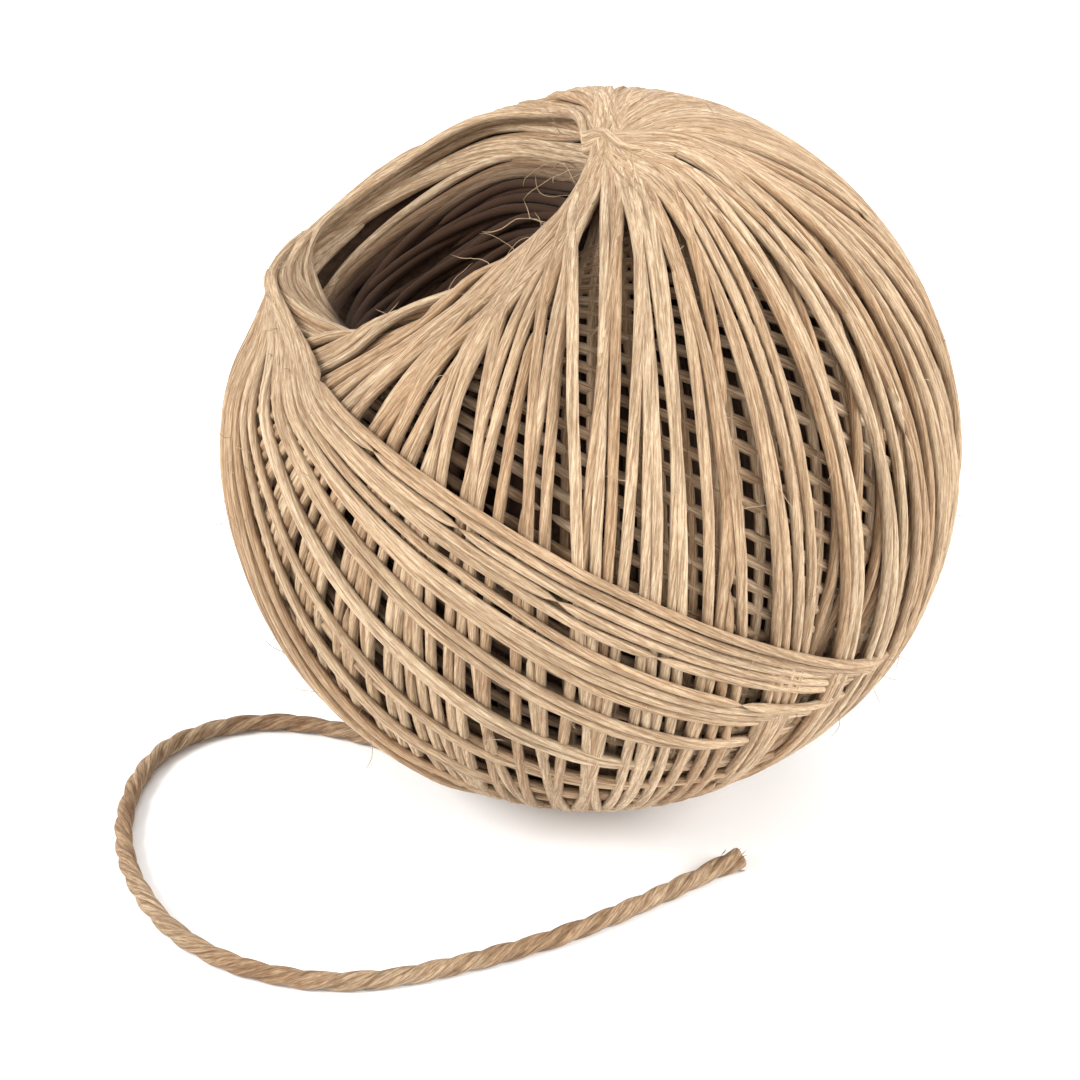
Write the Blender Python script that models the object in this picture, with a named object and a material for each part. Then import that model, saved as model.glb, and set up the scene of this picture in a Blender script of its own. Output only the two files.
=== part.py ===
"""Ball of twine: a machine-wound ball of 2 mm natural twine with its loose end lying beside it.

Two solids, in metres, +Z up, with the origin where the ball rests:
  ball       the wound form: a turned body with an open mouth at one end, swells of the
             bundles of turns, a raised outermost band, and a small flat spot to rest on
  loose_end  the free end of the twine, from under the ball round one open loop

Every turn of such a ball is nearly a great circle. Its plane leans by the same angle
against the winding axis and creeps round that axis from turn to turn, so all turns pass
the mouth at the same distance, and that distance is the mouth's own radius.
"""

from math import acos, asin, atan2, cos, pi, radians, sin, tan

import bmesh
import bpy
from mathutils import Matrix, Vector

MM = 0.001

# The twine and the ball
TWINE_DIAMETER = 2.1 * MM
BALL_RADIUS = 39.3 * MM  # the wound surface, without swells and band
AXIS_LEAN = radians(30.6)  # of the winding axis against the vertical
AXIS_HEADING = radians(173.0)  # the side that the winding axis leans to, from +X

# The turns: a turn's plane normal leans by TURN_LEAN against the winding axis
TURN_LEAN = radians(60.0)
BUNDLES = 21  # swells around the ball, each a bundle of turns side by side
BUNDLE_RISE = 0.45 * MM

# The outermost band, a bundle laid last and more densely, seen round the winding axis
BAND_HEADING = radians(188.0)
BAND_LEAN = radians(61.0)
BAND_HALF_WIDTH = radians(9.0)
BAND_EDGE = radians(4.5)
BAND_RISE = 1.2 * MM
BAND_PILE = 0.9 * MM  # more rise where the band is heaped beside the mouth
BAND_PILE_REACH = radians(38.0)

# The mouth, in distance from the winding axis and height along it
MOUTH_DIP = 4.2 * MM  # how far the surface sinks towards the mouth
MOUTH_DIP_REACH = radians(16.0)
MOUTH_DIP_HEADING = radians(105.0)  # the side that sinks; the opposite side stays full
MOUTH_POLAR = radians(31.5)
MOUTH_PROFILE = (
    # (section, distance from the axis, height above the ball's centre)
    ("lip crest", 17.2 * MM, 29.9 * MM),
    ("lip inside", 15.7 * MM, 28.2 * MM),
    ("throat", 14.2 * MM, 23.8 * MM),
    ("upper wall", 12.2 * MM, 17.0 * MM),
    ("lower wall", 9.8 * MM, 10.0 * MM),
    ("foot", 7.0 * MM, 6.2 * MM),
)
HOLLOW_FLOOR = 5.0 * MM

# The far end, where turns cross over and leave only a shallow dimple
DIMPLE_POLAR = radians(160.0)
DIMPLE_DEPTH = 2.6 * MM

# Mesh and rest
COLUMNS = 84  # around the winding axis
OUTER_ROWS = 29  # from the far end to the mouth
FLAT_DEPTH = 0.55 * MM  # pressed flat where the ball rests
CALM_REACH = radians(24.0)  # no swells this near the flat spot

# The loose end: its route on the surface, seen from above
LOOSE_END_ROUTE = (
    # (x, y) along the surface
    (-13.2 * MM, -8.4 * MM),
    (-17.5 * MM, -6.5 * MM),
    (-23.0 * MM, -3.6 * MM),
    (-29.3 * MM, -0.9 * MM),
    (-36.5 * MM, 0.5 * MM),
    (-43.2 * MM, -0.7 * MM),
    (-48.6 * MM, -4.4 * MM),
    (-51.3 * MM, -10.2 * MM),
    (-51.9 * MM, -17.2 * MM),
    (-50.9 * MM, -23.8 * MM),
    (-48.2 * MM, -30.4 * MM),
    (-43.9 * MM, -36.6 * MM),
    (-38.1 * MM, -41.2 * MM),
    (-31.6 * MM, -43.7 * MM),
    (-25.3 * MM, -44.4 * MM),
    (-19.0 * MM, -43.5 * MM),
    (-11.0 * MM, -40.7 * MM),
    (-3.0 * MM, -37.0 * MM),
    (3.8 * MM, -32.8 * MM),
    (10.2 * MM, -28.3 * MM),
    (14.6 * MM, -25.0 * MM),
    (17.2 * MM, -23.2 * MM),
)
LOOSE_END_CLEARANCE = 0.02 * MM  # under the tube, whose facets lie inside its round
POINTS_PER_STEP = 2  # tube points between two route points

TWINE_COLOR = (0.62, 0.44, 0.26, 1.0)
TWINE_ROUGHNESS = 0.85


def remove_all_objects():
    for old in list(bpy.data.objects):
        bpy.data.objects.remove(old, do_unlink=True)


def twine_material(name):
    material = bpy.data.materials.new(name)
    material.use_nodes = True
    shader = material.node_tree.nodes["Principled BSDF"]
    shader.inputs["Base Color"].default_value = TWINE_COLOR
    shader.inputs["Roughness"].default_value = TWINE_ROUGHNESS
    shader.inputs["Metallic"].default_value = 0.0
    material.diffuse_color = TWINE_COLOR
    return material


def smooth(value):
    """0 below 0, 1 above 1, and a smooth rise between them."""
    held = min(max(value, 0.0), 1.0)
    return held * held * (3.0 - 2.0 * held)


def from_axis(polar, heading):
    """The direction at this angle from the winding axis, in the ball's own frame."""
    return Vector((sin(polar) * cos(heading), sin(polar) * sin(heading), cos(polar)))


WINDING_FRAME = Matrix.Rotation(AXIS_HEADING, 3, "Z") @ Matrix.Rotation(AXIS_LEAN, 3, "Y")
DOWN = WINDING_FRAME.transposed() @ Vector((0.0, 0.0, -1.0))
BAND_NORMAL = from_axis(BAND_LEAN, BAND_HEADING)
BAND_PASS = from_axis(pi / 2.0 - BAND_LEAN, BAND_HEADING + pi)  # where it passes the mouth


def angle_between(first, second):
    return acos(min(max(first.dot(second), -1.0), 1.0))


def dip_share(heading):
    """How much of the dip the mouth's edge has on this side."""
    return smooth(0.25 + cos(heading - MOUTH_DIP_HEADING))


def turned_radius(polar, heading):
    """The wound surface's distance from the centre before swells and band."""
    dip = MOUTH_DIP * smooth((MOUTH_POLAR + MOUTH_DIP_REACH - polar) / MOUTH_DIP_REACH)
    dip = dip * dip_share(heading)
    dimple = DIMPLE_DEPTH * smooth((polar - DIMPLE_POLAR) / (pi - DIMPLE_POLAR))
    return BALL_RADIUS - dip - dimple


def bundle_rise(direction):
    """The swell of the bundles of turns, which slant across the ball as the turns do."""
    polar = acos(direction.z)
    heading = atan2(direction.y, direction.x)
    if not pi / 2.0 - TURN_LEAN < polar < pi / 2.0 + TURN_LEAN:
        return 0.0
    turn_heading = heading - acos(-1.0 / (tan(TURN_LEAN) * tan(polar)))
    crest = 0.5 + 0.5 * cos(BUNDLES * turn_heading)
    calm = smooth(angle_between(direction, DOWN) / CALM_REACH)
    mouth_end = smooth((polar - MOUTH_POLAR) / MOUTH_DIP_REACH)
    far_end = smooth((DIMPLE_POLAR - polar) / MOUTH_DIP_REACH)
    return BUNDLE_RISE * crest * calm * mouth_end * far_end


def band_rise(direction):
    """The raised band, heaped up beside the mouth where its turns crowd together."""
    off_band = abs(asin(direction.dot(BAND_NORMAL)))
    across = smooth((BAND_HALF_WIDTH + BAND_EDGE - off_band) / BAND_EDGE)
    from_pass = angle_between(direction, BAND_PASS)
    pile = BAND_PILE * smooth(1.0 - from_pass / BAND_PILE_REACH)
    return (BAND_RISE + pile) * across


def wound_point(polar, heading):
    direction = from_axis(polar, heading)
    rise = bundle_rise(direction) + band_rise(direction)
    return direction * (turned_radius(polar, heading) + rise)


def mouth_point(row, heading):
    """A point of the mouth's profile. The lip crest keeps the edge's rise, the inside less."""
    _, distance, height = MOUTH_PROFILE[row]
    point = Vector((distance * cos(heading), distance * sin(heading), height))
    kept = smooth(1.0 - row / 3.0)
    full = MOUTH_DIP * (1.0 - dip_share(heading))
    return point + point.normalized() * ((band_rise(point.normalized()) + full) * kept)


def ring_of(bm, place):
    headings = [2.0 * pi * column / COLUMNS for column in range(COLUMNS)]
    return [bm.verts.new(place(heading)) for heading in headings]


def join_rings(bm, lower, upper):
    for column in range(COLUMNS):
        after = (column + 1) % COLUMNS
        bm.faces.new((lower[column], lower[after], upper[after], upper[column]))


def close_ring(bm, ring, centre, reverse):
    for column in range(COLUMNS):
        pair = (ring[column], ring[(column + 1) % COLUMNS])
        if reverse:
            pair = (pair[1], pair[0])
        bm.faces.new((pair[0], pair[1], centre))


def wound_body(bm):
    """The closed wound form about its own winding axis, from the far end to the hollow."""
    step = (pi - MOUTH_POLAR) / OUTER_ROWS
    rings = []
    for row in range(1, OUTER_ROWS + 1):
        polar = pi - step * row
        rings.append(ring_of(bm, lambda heading: wound_point(polar, heading)))
    for row in range(len(MOUTH_PROFILE)):
        rings.append(ring_of(bm, lambda heading: mouth_point(row, heading)))
    for lower, upper in zip(rings, rings[1:]):
        join_rings(bm, lower, upper)
    far_pole = bm.verts.new((0.0, 0.0, -turned_radius(pi, 0.0)))
    hollow_floor = bm.verts.new((0.0, 0.0, HOLLOW_FLOOR))
    close_ring(bm, rings[0], far_pole, True)
    close_ring(bm, rings[-1], hollow_floor, False)


def stand_on_floor(bm):
    """Leans the body, presses its flat spot and puts the box's bottom centre at the origin."""
    bmesh.ops.rotate(bm, verts=bm.verts, cent=(0.0, 0.0, 0.0), matrix=WINDING_FRAME)
    places = [vert.co for vert in bm.verts]
    lows = [min(place[axis] for place in places) for axis in range(3)]
    highs = [max(place[axis] for place in places) for axis in range(3)]
    middle = Vector(((lows[0] + highs[0]) / 2.0, (lows[1] + highs[1]) / 2.0, lows[2] + FLAT_DEPTH))
    bmesh.ops.translate(bm, verts=bm.verts, vec=-middle)
    cut = bmesh.ops.bisect_plane(
        bm,
        geom=bm.verts[:] + bm.edges[:] + bm.faces[:],
        plane_co=(0.0, 0.0, 0.0),
        plane_no=(0.0, 0.0, -1.0),
        clear_outer=True,
    )
    rim = [part for part in cut["geom_cut"] if isinstance(part, bmesh.types.BMEdge)]
    for edge in rim:
        for vert in edge.verts:
            vert.co.z = 0.0
    bmesh.ops.holes_fill(bm, edges=rim, sides=0)


def add_ball():
    bm = bmesh.new()
    wound_body(bm)
    stand_on_floor(bm)
    bmesh.ops.recalc_face_normals(bm, faces=bm.faces)
    mesh = bpy.data.meshes.new("ball")
    bm.to_mesh(mesh)
    bm.free()
    mesh.shade_smooth()
    mesh.set_sharp_from_angle(angle=radians(40.0))
    mesh.materials.append(twine_material("wound twine"))
    ball = bpy.data.objects.new("ball", mesh)
    bpy.context.scene.collection.objects.link(ball)


def between(before, start, end, after, share):
    """A point of the smooth curve that runs through start and end."""
    square = share * share
    cube = square * share
    return 0.5 * (
        2.0 * start
        + (end - before) * share
        + (2.0 * before - 5.0 * start + 4.0 * end - after) * square
        + (3.0 * start - before - 3.0 * end + after) * cube
    )


def smooth_route(route):
    """Points of a smooth curve through the route's own points."""
    places = [2.0 * route[0] - route[1], *route, 2.0 * route[-1] - route[-2]]
    found = []
    for first in range(len(route) - 1):
        around = places[first : first + 4]
        for part in range(POINTS_PER_STEP):
            found.append(between(*around, part / POINTS_PER_STEP))
    return [*found, route[-1]]


def add_loose_end():
    height = TWINE_DIAMETER / 2.0 + LOOSE_END_CLEARANCE
    route = smooth_route([Vector((x, y, height)) for x, y in LOOSE_END_ROUTE])
    curve = bpy.data.curves.new("loose_end", "CURVE")
    curve.dimensions = "3D"
    curve.bevel_depth = TWINE_DIAMETER / 2.0
    curve.bevel_resolution = 2
    curve.use_fill_caps = True
    spline = curve.splines.new("POLY")
    spline.points.add(len(route) - 1)
    for point, place in zip(spline.points, route):
        point.co = (*place, 1.0)
    curve.materials.append(twine_material("loose twine"))
    loose_end = bpy.data.objects.new("loose_end", curve)
    bpy.context.scene.collection.objects.link(loose_end)


def main():
    remove_all_objects()
    add_ball()
    add_loose_end()


main()
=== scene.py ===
"""Ball of twine: the looks of a machine-wound ball of natural twine and its loose end.

The winding is laid turn by turn, as the machine lays it. Each turn is nearly a great circle
that leans against the winding axis, and each new turn rests on the turns below it and is
drawn tight between the places where it touches them.
"""

import bpy
import numpy as np
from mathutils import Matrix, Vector


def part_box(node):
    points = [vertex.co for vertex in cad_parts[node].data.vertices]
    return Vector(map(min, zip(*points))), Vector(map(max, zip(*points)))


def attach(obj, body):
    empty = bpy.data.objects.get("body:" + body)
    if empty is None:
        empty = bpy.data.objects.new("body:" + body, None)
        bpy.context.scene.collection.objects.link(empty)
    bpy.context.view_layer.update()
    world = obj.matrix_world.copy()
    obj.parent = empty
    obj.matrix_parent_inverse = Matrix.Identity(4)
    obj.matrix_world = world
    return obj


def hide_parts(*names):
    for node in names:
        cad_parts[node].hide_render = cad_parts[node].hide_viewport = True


bl_info = {
    "name": "Ball of Twine",
    "version": (1, 0, 0),
    "blender": (4, 5, 0),
    "location": "View3D > Sidebar > Twine",
    "description": "Winds a ball of twine turn by turn and lays its loose end beside it",
    "category": "Add Mesh",
}

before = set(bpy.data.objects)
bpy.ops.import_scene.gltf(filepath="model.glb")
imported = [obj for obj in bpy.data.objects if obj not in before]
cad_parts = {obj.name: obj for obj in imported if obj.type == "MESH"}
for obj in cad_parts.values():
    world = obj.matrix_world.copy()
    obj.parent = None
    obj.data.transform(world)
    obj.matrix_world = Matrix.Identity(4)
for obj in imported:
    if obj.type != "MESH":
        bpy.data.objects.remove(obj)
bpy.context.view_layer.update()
BALL_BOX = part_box("ball")

MM = 0.001

# The wound form, in millimetres, about the ball's own centre
BALL_RADIUS = 39.3
FLAT_DEPTH = 0.55
BALL_CENTRE = np.array([0.02, -0.10, BALL_BOX[0].z / MM + BALL_RADIUS - FLAT_DEPTH])
AXIS_LEAN = np.radians(30.6)
AXIS_HEADING = np.radians(173.0)
EDGE = 31.5  # degrees from the winding axis to the mouth's edge
MOUTH_DIP = 4.2  # how far the front of the lip is drawn in
MOUTH_DIP_REACH = 16.0  # degrees past the edge over which the lip is drawn in
MOUTH_DIP_HEADING = np.radians(105.0)
NARROW_HEADING = np.radians(-35.0)  # the side where the lip is rounder and leans further in
NARROW_EDGE = 28.0
DIMPLE_POLAR = 160.0
DIMPLE_DEPTH = 2.6
MOUTH_PROFILE = (
    # distance from the winding axis, height above the ball's centre
    (17.2, 29.9),
    (15.7, 28.2),
    (14.2, 23.8),
    (12.2, 17.0),
    (9.8, 10.0),
    (7.0, 6.2),
    (0.0, 5.0),
)
MM_PER_DEGREE = BALL_RADIUS * np.pi / 180.0

# The loose end's route on the surface, in metres, as the solid has it
LOOSE_END_ROUTE = (
    (-0.0132, -0.0084),
    (-0.0175, -0.0065),
    (-0.0230, -0.0036),
    (-0.0293, -0.0009),
    (-0.0365, 0.0005),
    (-0.0432, -0.0007),
    (-0.0486, -0.0044),
    (-0.0513, -0.0102),
    (-0.0519, -0.0172),
    (-0.0509, -0.0238),
    (-0.0482, -0.0304),
    (-0.0439, -0.0366),
    (-0.0381, -0.0412),
    (-0.0316, -0.0437),
    (-0.0253, -0.0444),
    (-0.0190, -0.0435),
    (-0.0110, -0.0407),
    (-0.0030, -0.0370),
    (0.0038, -0.0328),
    (0.0102, -0.0283),
    (0.0146, -0.0250),
    (0.0172, -0.0232),
)
LOOSE_END_DIAMETER = 0.0021
LOOSE_END_LAY = 0.0115  # the length in which its plies go once round
LOOSE_END_CREASE = 0.30  # how deep the creases between its plies are, as a share of its radius
CUT_FIBRES = 40

# The camera
CAMERA_DISTANCE = 0.280
CAMERA_ELEVATION = np.radians(30.0)
CAMERA_LENS = 85.0
CAMERA_TURN = np.radians(1.348)
CAMERA_PITCH = np.radians(32.118)


def settings():
    return bpy.context.scene.ball_of_twine


# ---------------------------------------------------------------- directions


def unit(rows):
    return rows / np.linalg.norm(rows, axis=-1, keepdims=True)


def winding_frame():
    """The winding axis and the two directions square to it, as the columns of a matrix."""
    cos_h, sin_h = np.cos(AXIS_HEADING), np.sin(AXIS_HEADING)
    cos_l, sin_l = np.cos(AXIS_LEAN), np.sin(AXIS_LEAN)
    turn = np.array([[cos_h, -sin_h, 0.0], [sin_h, cos_h, 0.0], [0.0, 0.0, 1.0]])
    lean = np.array([[cos_l, 0.0, sin_l], [0.0, 1.0, 0.0], [-sin_l, 0.0, cos_l]])
    return turn @ lean


WINDING = winding_frame()
KNUCKLE = np.array([0.0, 0.0, 1.0]) @ WINDING  # where the fan of turns leaves the mouth
CORNER = unit(np.array([-0.82, -0.24, 0.52])) @ WINDING  # where the band leaves the mouth


def from_world(direction):
    return unit(np.array(direction, float)) @ WINDING


def smooth(value):
    held = np.clip(value, 0.0, 1.0)
    return held * held * (3.0 - 2.0 * held)


def rotated(direction, about, degrees):
    angle = np.radians(degrees)
    return (
        direction * np.cos(angle)
        + np.cross(about, direction) * np.sin(angle)
        + about * (about @ direction) * (1.0 - np.cos(angle))
    )


def lengths_along(line):
    """The length of a line up to each of its points."""
    return np.concatenate([[0.0], np.cumsum(np.linalg.norm(np.diff(line, axis=0), axis=1))])


# ---------------------------------------------------------------- the wound form


def blurred(values, spread):
    """Values smoothed along a line with a bell of this spread, counted in samples."""
    reach = int(3 * spread) + 1
    bell = np.exp(-0.5 * (np.arange(-reach, reach + 1) / spread) ** 2)
    padded = np.concatenate([np.full(reach, values[0]), values, np.full(reach, values[-1])])
    return np.convolve(padded, bell / bell.sum(), mode="valid")


def form_table(dip, edge_polar=EDGE):
    """The wound form's section: distance and height over degrees from the mouth's axis."""
    polar = np.arange(-8.0, 180.01, 0.1)
    held = np.maximum(polar, edge_polar)
    radius = (
        BALL_RADIUS
        - dip * smooth((EDGE + MOUTH_DIP_REACH - held) / MOUTH_DIP_REACH)
        - DIMPLE_DEPTH * smooth((held - DIMPLE_POLAR) / (180.0 - DIMPLE_POLAR))
    )
    distance = radius * np.sin(np.radians(held))
    height = radius * np.cos(np.radians(held))
    edge = (distance[polar <= edge_polar][0], height[polar <= edge_polar][0])
    rows = np.array(MOUTH_PROFILE)
    kept = smooth(1.0 - np.arange(len(rows)) / 3.0) * (MOUTH_DIP - dip)
    rows = rows * (1.0 + kept / np.hypot(rows[:, 0], rows[:, 1]))[:, None]
    wall = np.array([edge, *rows])
    along = np.concatenate([[0.0], np.cumsum(np.hypot(*np.diff(wall, axis=0).T))])
    inside = polar < edge_polar
    deep = (edge_polar - polar[inside]) * MM_PER_DEGREE
    distance[inside] = np.interp(deep, along, wall[:, 0])
    height[inside] = np.interp(deep, along, wall[:, 1])
    distance, height = blurred(distance, 14.0), blurred(height, 14.0)
    outward = np.interp(polar, [-8.0, 14.0, 24.0, 50.0, 180.0], [-82.0, -78.0, -55.0, 50.0, 180.0])
    return polar, distance, height, np.radians(blurred(outward, 20.0))


DIPPED_FORM, FULL_FORM, NARROW_FORM = form_table(MOUTH_DIP), form_table(0.0), form_table(0.0, NARROW_EDGE)


def places(polar, azimuth, rise):
    """Points of the wound form, raised by rise mm, and the outward direction there."""
    dipped = smooth(0.25 + np.cos(azimuth - MOUTH_DIP_HEADING))
    narrow = smooth((0.15 + np.cos(azimuth - NARROW_HEADING)) / 0.75) * (1.0 - dipped)
    distance, height = (
        np.interp(polar, DIPPED_FORM[0], DIPPED_FORM[row]) * dipped
        + np.interp(polar, NARROW_FORM[0], NARROW_FORM[row]) * narrow
        + np.interp(polar, FULL_FORM[0], FULL_FORM[row]) * (1.0 - dipped - narrow)
        for row in (1, 2)
    )
    outward = np.interp(polar, DIPPED_FORM[0], DIPPED_FORM[3])
    sideways = np.stack([np.cos(azimuth), np.sin(azimuth), np.zeros_like(azimuth)], -1)
    up = np.array([0.0, 0.0, 1.0])
    away = np.sin(outward)[:, None] * sideways + np.cos(outward)[:, None] * up
    points = distance[:, None] * sideways + height[:, None] * up + rise[:, None] * away
    return points, away


def spherical(directions):
    polar = np.degrees(np.arccos(np.clip(directions[:, 2], -1.0, 1.0)))
    return polar, np.arctan2(directions[:, 1], directions[:, 0])


def direction_at(polar, azimuth):
    angle = np.radians(polar)
    return np.stack(
        [np.sin(angle) * np.cos(azimuth), np.sin(angle) * np.sin(azimuth), np.cos(angle)], -1
    )


def held_by_spindle(directions, deepest):
    """Turns that would cross the mouth bend round the spindle and stay at its edge."""
    polar, azimuth = spherical(directions)
    inside = np.maximum(EDGE - polar, 0.0)
    held = np.where(polar < EDGE, EDGE - deepest * np.tanh(inside / deepest), polar)
    return direction_at(held, azimuth)


# ---------------------------------------------------------------- laying the turns


class Surface:
    """The height of the winding so far, in millimetres from the wound form, as a map."""

    CELLS = 700

    def __init__(self, level):
        self.top = np.full(self.CELLS * self.CELLS, level, float)

    def cells(self, directions):
        flat = directions / np.abs(directions).sum(-1, keepdims=True)
        x, y = flat[..., 0], flat[..., 1]
        below = flat[..., 2] < 0.0
        fold_x = (1.0 - np.abs(y)) * np.where(x >= 0.0, 1.0, -1.0)
        fold_y = (1.0 - np.abs(x)) * np.where(y >= 0.0, 1.0, -1.0)
        x, y = np.where(below, fold_x, x), np.where(below, fold_y, y)
        last = self.CELLS - 1
        column = np.clip(((x + 1.0) * 0.5 * self.CELLS).astype(int), 0, last)
        row = np.clip(((y + 1.0) * 0.5 * self.CELLS).astype(int), 0, last)
        return row * self.CELLS + column

    def support(self, directions, across, radius):
        """How high a turn's middle line must lie to rest on what is below it."""
        need = np.full(len(directions), -50.0)
        for offset in np.linspace(-0.62, 0.62, 7) * radius:
            spots = unit(directions + across * (offset / BALL_RADIUS))
            reach = np.sqrt(radius**2 - offset**2)
            need = np.maximum(need, self.top[self.cells(spots)] + reach)
        wide = need.copy()
        for shift in (1, 2):
            wide[shift:] = np.maximum(wide[shift:], need[:-shift])
            wide[:-shift] = np.maximum(wide[:-shift], need[shift:])
        return wide

    def press(self, directions, across, heights, radius):
        """Adds a laid turn to the map."""
        for offset in np.linspace(-0.96, 0.96, 13) * radius:
            spots = unit(directions + across * (offset / BALL_RADIUS))
            crown = heights + np.sqrt(radius**2 - offset**2)
            np.maximum.at(self.top, self.cells(spots), crown)


def drawn_tight(need, sag):
    """The lowest line over all the needs that is nowhere slacker than a straight pull."""
    level = need - sag
    kept = []
    for index, value in enumerate(level):
        while len(kept) > 1:
            first, second = kept[-2], kept[-1]
            run = (second[0] - first[0]) * (value - first[1])
            if run < (index - first[0]) * (second[1] - first[1]):
                break
            kept.pop()
        kept.append((index, value))
    stations = np.array(kept)
    return np.interp(np.arange(len(need)), stations[:, 0], stations[:, 1]) + sag


class Winding:
    """A run of turns: where it goes, and how high it lies."""

    SPACING = 0.25
    LENGTH = 570  # the length laid at a time, in spacings
    OVERLAP = 240
    KEEP = 16
    HEAP_STEP = 0.34
    HEAP_REACH = 2.4
    BRIDGE = 32  # half the length a turn spans freely, in spacings
    BRIDGE_BLUR = 12.0
    BRIDGE_LIFT = 0.05

    def __init__(self, directions, radius):
        polar, azimuth = spherical(directions)
        points, _ = places(polar, azimuth, np.zeros(len(polar)))
        along = lengths_along(points)
        count = int(along[-1] / self.SPACING)
        even = np.arange(count) * self.SPACING
        columns = [np.interp(even, along, directions[:, axis]) for axis in range(3)]
        self.directions = unit(np.stack(columns, -1))
        self.radius = radius
        heading = np.gradient(self.directions, axis=0)
        self.across = unit(np.cross(self.directions, heading))
        polar, azimuth = spherical(self.directions)
        points, away = places(polar, azimuth, np.zeros(count))
        curve = np.gradient(np.gradient(points, self.SPACING, axis=0), self.SPACING, axis=0)
        bend = np.clip(-np.einsum("ij,ij->i", curve, away), 0.0, 0.6)
        bend = blurred(bend, 6.0)
        self.sag = np.cumsum(np.cumsum(bend)) * self.SPACING**2
        self.heights = np.zeros(count)

    def lay(self, surface, squeeze, cap):
        """Lays the run on the surface, a length at a time. Heaps above the cap are squeezed."""
        count = len(self.directions)
        pressed = 0
        for start in range(0, count, self.LENGTH):
            stop = min(start + self.LENGTH, count)
            first, last = max(start - self.OVERLAP, 0), min(stop + self.OVERLAP, count)
            span = slice(first, last)
            need = surface.support(self.directions[span], self.across[span], self.radius)
            heaped = smooth((need - cap) / self.HEAP_REACH)
            need = need - squeeze - heaped * (2.0 * self.radius - squeeze - self.HEAP_STEP)
            need[: start - first] = self.heights[first:start]
            slope = np.linspace(self.sag[first], self.sag[last - 1], last - first)
            line = drawn_tight(need, self.sag[span] - slope)
            near = np.pad(need, self.BRIDGE, mode="edge")
            near = np.lib.stride_tricks.sliding_window_view(near, 2 * self.BRIDGE + 1).max(-1)
            line = np.minimum(line, blurred(near, self.BRIDGE_BLUR) + self.BRIDGE_LIFT)
            self.heights[start:stop] = line[start - first : stop - first]
            edge = stop if stop == count else stop - self.KEEP
            piece = slice(pressed, edge)
            surface.press(
                self.directions[piece], self.across[piece], self.heights[piece], self.radius
            )
            pressed = edge

    def press_again(self, surface):
        surface.press(self.directions, self.across, self.heights, self.radius)


def even_spots(count):
    """Directions spread evenly all round the ball."""
    index = np.arange(count) + 0.5
    polar = np.degrees(np.arccos(1.0 - 2.0 * index / count))
    azimuth = index * np.pi * (1.0 + 5.0**0.5)
    return direction_at(polar, azimuth)


SURFACE_RISE = 0.6  # how far the topmost turns stand over the wound form
BESIDE_MOUTH = unit(np.array([-0.96, -0.05, 0.28])) @ WINDING
PILE = 0.5  # how much more they pile up beside the mouth
PRESSED_UP = 0.3
PRESSED_DOWN = 0.5
PROBES = 5200
DEEPEST = -5.0


def band_share(directions):
    """How far a place lies within the outermost band."""
    off_band = np.degrees(np.abs(np.arcsin(np.clip(directions @ leaning(61.0, 8.0), -1.0, 1.0))))
    return smooth((15.0 - off_band) / 9.0)


def flatten(winding, layer):
    """Presses a winding into its own layer, given in millimetres from the surface."""
    beside = winding.directions @ BESIDE_MOUTH
    level = SURFACE_RISE + layer - winding.radius + PILE * smooth((beside - 0.84) / 0.15)
    off = winding.heights - level
    up, down = PRESSED_UP * np.tanh(off / PRESSED_UP), PRESSED_DOWN * np.tanh(off / PRESSED_DOWN)
    pressed = np.where(off > 0.0, up, down)
    winding.heights = level + pressed


def settle(surface, windings):
    """Shifts whole regions so that the winding's top follows the wound form everywhere."""
    probes = even_spots(PROBES)
    probes = probes[probes[:, 2] < np.cos(np.radians(22.0))]
    top = np.full(len(probes), -50.0)
    side = unit(np.cross(probes, [0.3, 0.2, 0.93]))
    other = np.cross(probes, side)
    for ring in (0.0, 0.8, 1.6, 2.4):
        for angle in np.linspace(0.0, 2.0 * np.pi, 9)[: 8 if ring else 1]:
            shift = (side * np.cos(angle) + other * np.sin(angle)) * (ring / BALL_RADIUS)
            top = np.maximum(top, surface.top[surface.cells(unit(probes + shift))])
    weight = np.exp((probes @ probes.T - 1.0) * (BALL_RADIUS / 2.8) ** 2)
    top = weight @ top / weight.sum(1) - SURFACE_RISE - 0.8 * band_share(probes)
    for winding in windings:
        coarse = np.arange(0, len(winding.heights), 6)
        level = np.empty(len(coarse))
        for start in range(0, len(coarse), 2000):
            part = coarse[start : start + 2000]
            weight = np.exp((winding.directions[part] @ probes.T - 1.0) * (BALL_RADIUS / 2.6) ** 2)
            level[start : start + 2000] = weight @ top / weight.sum(1)
        level = np.interp(np.arange(len(winding.heights)), coarse, level)
        below = winding.heights - level
        deep = DEEPEST - 3.0 * (1.0 - np.exp(-np.maximum(DEEPEST - below, 0.0) / 3.0))
        winding.heights = np.where(below < DEEPEST, deep, below)


# ---------------------------------------------------------------- the plan of turns


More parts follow.
